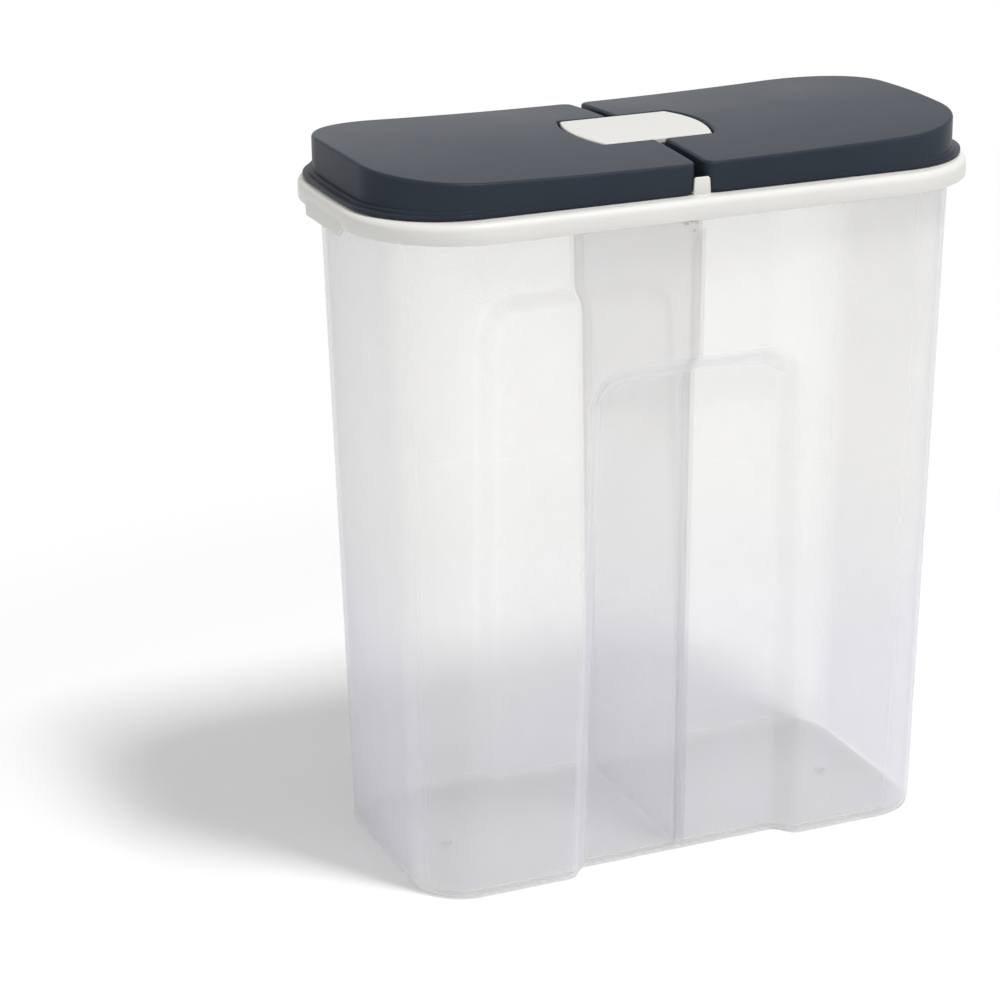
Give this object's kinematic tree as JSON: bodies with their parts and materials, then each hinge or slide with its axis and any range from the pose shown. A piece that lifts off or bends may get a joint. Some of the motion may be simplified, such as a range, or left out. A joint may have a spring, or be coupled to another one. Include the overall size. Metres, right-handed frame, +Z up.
{
  "type": "cereal keeper",
  "caption": "Tall translucent two-compartment dry food keeper with a push-on white lid frame and hinged dark pouring flaps.",
  "frame": {"origin": "middle of the tub's underside, on the surface it stands on", "axes": "+Z up, +X along the length towards the right-hand flap, -Y towards the viewer's long side"},
  "size_m": [0.2518, 0.126, 0.2833],
  "materials": {
    "tub_plastic": "natural polypropylene, cloudy and half clear",
    "divider_plastic": "natural polypropylene, cloudy and half clear",
    "lid_plastic": "warm white moulded polypropylene, satin",
    "cover_plastic": "warm white moulded polypropylene, satin",
    "flap_plastic": "anthracite moulded polypropylene, satin"
  },
  "bodies": {
    "container": {"tub": "tub_plastic", "divider": "divider_plastic"},
    "lid": {"lid_frame": "lid_plastic", "hinge_cover": "cover_plastic"},
    "left_flap": {"flap_left": "flap_plastic"},
    "right_flap": {"flap_right": "flap_plastic"}
  },
  "joints": [
    {"name": "lid_lift", "type": "slide", "parent": "container", "child": "lid", "axis": [0, 0, 1], "range_m": [0, 0.06]},
    {"name": "left_flap_hinge", "type": "hinge", "parent": "lid", "child": "left_flap", "pos_m": [-0.005, 0, 0.2755], "axis": [0, 1, 0], "range_deg": [0, 88]},
    {"name": "right_flap_hinge", "type": "hinge", "parent": "lid", "child": "right_flap", "pos_m": [0.005, 0, 0.2755], "axis": [0, -1, 0], "range_deg": [0, 88]}
  ]
}
